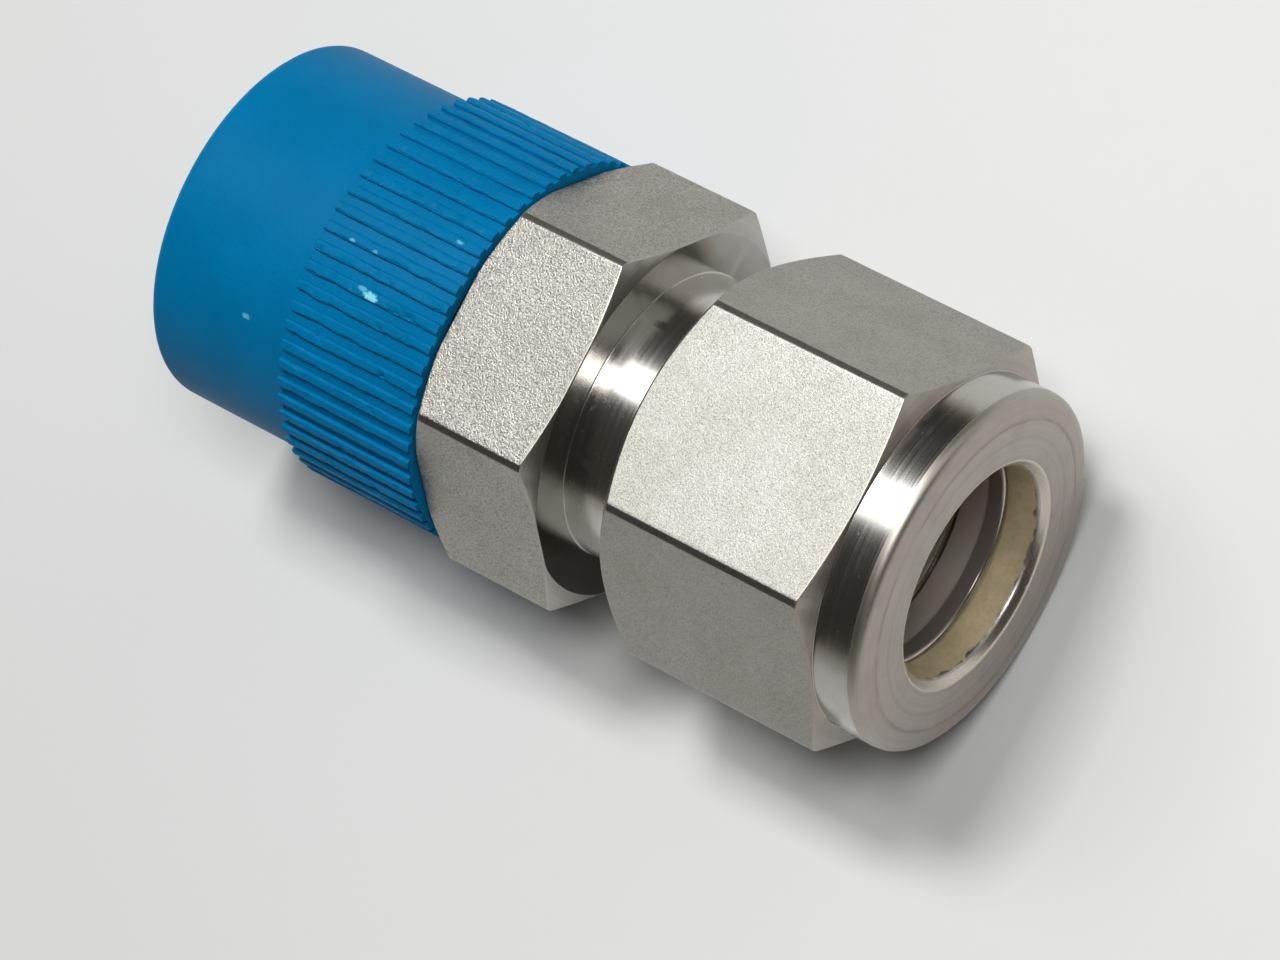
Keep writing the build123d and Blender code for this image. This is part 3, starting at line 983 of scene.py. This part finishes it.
class FITTING_OT_nut(Operator):
    """Make the tube nut with its turned collar, plated land and internal thread"""

    bl_idname = "fitting.nut"
    bl_label = "Tube nut"

    def execute(self, context):
        steel, threads = settings().steel, settings().threads
        finishes = {
            # Painted light: the nut's flats are painted 2 % darker than the bar stock, to balance them
            # against the body's under the lamps.
            "flat": finish_bar_stock(
                "bar_stock_fine", rgba(steel.flat_colour, 0.98), steel.nut_grain / MM,
                depth=0.0105, roughness=0.465, contrast=0.9),
            "edge": finish_edge("nut_edge_steel", steel.colour),
            "polished": finish_polished(
                "collar_steel", (0.47, 0.45, 0.42), roughness=0.215, ring_depth=0.0010, ring_gloss=0.07,
                nick=COLLAR_NICK),
            "lip": finish_polished(
                "lip_steel", (0.62, 0.57, 0.49), roughness=0.27, ring_depth=0.0020, ring_gloss=0.05),
            "faced": finish_faced("faced_steel", steel.face_colour),
            "plated": finish_plated("plated_bore", steel.plating_colour, steel.colour),
            "thread": finish_thread("nut_thread_steel", steel.colour),
        }
        back_tan, front_tan = tan(radians(33)), tan(radians(17))

        def outline(bar):
            return [
                (NUT_BACK, NUT_MOUTH_R, 0.08, "lip"),
                (NUT_BACK, NUT_HEEL_R, 0.12, "edge"),
                (NUT_BACK + (bar - NUT_HEEL_R) * back_tan, bar, 0.14, "flat"),
                (COLLAR_BACK - (bar - COLLAR_R) * front_tan, bar, 0.14, "faced"),
                (COLLAR_BACK, COLLAR_R, 0.04, "polished"),
                (NUT_FRONT - 0.20, COLLAR_R, 0.75, "faced"),
                (NUT_FRONT, 9.40, 8.0, "faced"),
                (NUT_FRONT, 6.92, 0.30, "lip"),
                (NUT_FRONT - 0.45, LAND_R, 0.35, "plated"),
                (LAND_START, LAND_R, 0.05, "plated"),
                (POCKET_END, POCKET_R, 0.05, "plated"),
                (NUT_THREAD_END, POCKET_R, 0.05, "thread"),
                (NUT_THREAD_END, NUT_THREAD_R, 0.0, "thread"),
                (NUT_BACK + 0.40, NUT_THREAD_R, 0.05, "thread"),
            ]

        nut = shell("tube_nut_steel", Hexagon(ACROSS_FLATS, EDGE_WIDTH), outline, finishes)
        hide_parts("tube_nut")
        ridge = thread(
            "nut_thread", finishes["thread"], threads.nut_pitch / MM,
            NUT_BACK + 0.05, NUT_THREAD_END - 1.25,
            root=NUT_THREAD_R, crest=8.84, start_cut=10.02, end_cut=9.6, steps=threads.steps,
            crest_width=0.18, phase=pi, inward=True)
        for piece in (nut, ridge):
            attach(piece, "nut")
        return {"FINISHED"}


class FITTING_OT_ferrules(Operator):
    """Make the two ferrules that lie between nut and body"""

    bl_idname = "fitting.ferrules"
    bl_label = "Ferrules"

    def execute(self, context):
        steel = settings().steel
        polished = finish_polished("ferrule_steel", steel.colour, roughness=0.20, ring_depth=0.0016)
        front_bore = finish_bored("front_ferrule_bore", (0.80, 0.73, 0.68), roughness=0.34)
        # The back ferrule's bore gets a painted shade over its last 1.2 mm towards the tail.
        back_bore = finish_bored(
            "back_ferrule_bore", (0.78, 0.71, 0.66), roughness=0.34, burnished_from=BACK_TAIL - 1.2)

        def front(bar):
            return [
                (FRONT_TIP, SOCKET_R, 0.03, "polished"),
                (FRONT_TIP, 6.62, 0.05, "polished"),
                (FRONT_TIP + 1.48 / tan(radians(20)), FERRULE_R, 0.10, "polished"),
                (FRONT_TAIL, FERRULE_R, 0.20, "polished"),
                (FRONT_TAIL, CUP_R, 0.06, "polished"),
                (FRONT_TAIL - 1.05, SOCKET_R, 0.05, "bored"),
            ]

        def back(bar):
            gap = 0.15
            flange = FRONT_TAIL + gap
            root = CUP_R + gap - 0.07 / cos(radians(45))
            return [
                (BACK_NOSE, SOCKET_R, 0.04, "polished"),
                (BACK_NOSE, root - 0.85, 0.04, "polished"),
                (flange, root, 0.03, "polished"),
                (flange, 8.05, 0.06, "polished"),
                (flange + 0.45, 8.05, 0.08, "polished"),
                (BACK_TAIL, 6.72, 0.12, "polished"),
                (BACK_TAIL - 0.22, SOCKET_R, 0.16, "bored"),
            ]

        for name, outline, bore, node in (
                ("front_ferrule_ring", front, front_bore, "front_ferrule"),
                ("back_ferrule_ring", back, back_bore, "back_ferrule")):
            ring = shell(name, Round(144), outline, {"polished": polished, "bored": bore}, steps=3)
            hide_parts(node)
            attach(ring, "ferrules")
        return {"FINISHED"}


class FITTING_OT_cap(Operator):
    """Make the moulded cap and its grip ribs"""

    bl_idname = "fitting.cap"
    bl_label = "Thread cap"

    def execute(self, context):
        cap = settings().cap
        plain = finish_polyethylene("blue_polyethylene", cap.colour)
        ribbed = finish_polyethylene("blue_polyethylene_ribs", cap.colour, ribbed=True)

        def outline(bar):
            inside = CAP_END + 0.75
            return [
                (CAP_END, 0.0, 0.0, "plain"),
                (CAP_END, CAP_R, 0.60, "plain"),
                (RIB_START, CAP_R, 0.08, "plain"),
                (RIB_START, RIB_ROOT_R, 0.08, "plain"),
                (CAP_MOUTH, RIB_ROOT_R, 0.08, "plain"),
                (CAP_MOUTH, CAP_MOUTH_R + 0.30, 0.05, "plain"),
                (CAP_MOUTH - 0.30, CAP_MOUTH_R, 0.0, "plain"),
                (PIPE_END + 9.60, CAP_MOUTH_R, 0.0, "plain"),
                (inside, CAP_BORE_R, 0.10, "plain"),
                (inside, 0.0, 0.0, "plain"),
            ]

        cup = shell("cap_cup", Round(240), outline, {"plain": plain}, closed=False, steps=5)
        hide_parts("thread_cap")
        ribs = grip_ribs("cap_ribs", ribbed, cap, RIB_START, CAP_MOUTH, RIB_ROOT_R, RIB_TOP_R)
        for piece in (cup, ribs):
            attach(piece, "cap")
        return {"FINISHED"}


class FITTING_PT_panel(Panel):
    """Lists what makes up the fitting"""

    bl_idname = "FITTING_PT_panel"
    bl_label = "Tube fitting"
    bl_space_type = "VIEW_3D"
    bl_region_type = "UI"
    bl_category = "Fitting"

    def draw(self, context):
        fitting = context.scene.fitting
        for operator in OPERATORS:
            self.layout.operator(operator.bl_idname)
        for group in (fitting.steel, fitting.threads, fitting.cap, fitting.stage):
            box = self.layout.box()
            for name in group.__annotations__:
                box.prop(group, name)


OPERATORS = (FITTING_OT_stage, FITTING_OT_body, FITTING_OT_nut, FITTING_OT_ferrules, FITTING_OT_cap)
CLASSES = (
    SteelSettings, ThreadSettings, CapSettings, StageSettings, FittingSettings,
    *OPERATORS, FITTING_PT_panel)


def register():
    for each in CLASSES:
        bpy.utils.register_class(each)
    bpy.types.Scene.fitting = PointerProperty(
        type=FittingSettings, name="Fitting", description="Settings of the tube fitting")


def unregister():
    del bpy.types.Scene.fitting
    for each in reversed(CLASSES):
        bpy.utils.unregister_class(each)


def main():
    register()
    bpy.ops.fitting.stage()
    bpy.ops.fitting.body()
    bpy.ops.fitting.nut()
    bpy.ops.fitting.ferrules()
    bpy.ops.fitting.cap()


if __name__ == "__main__":
    main()
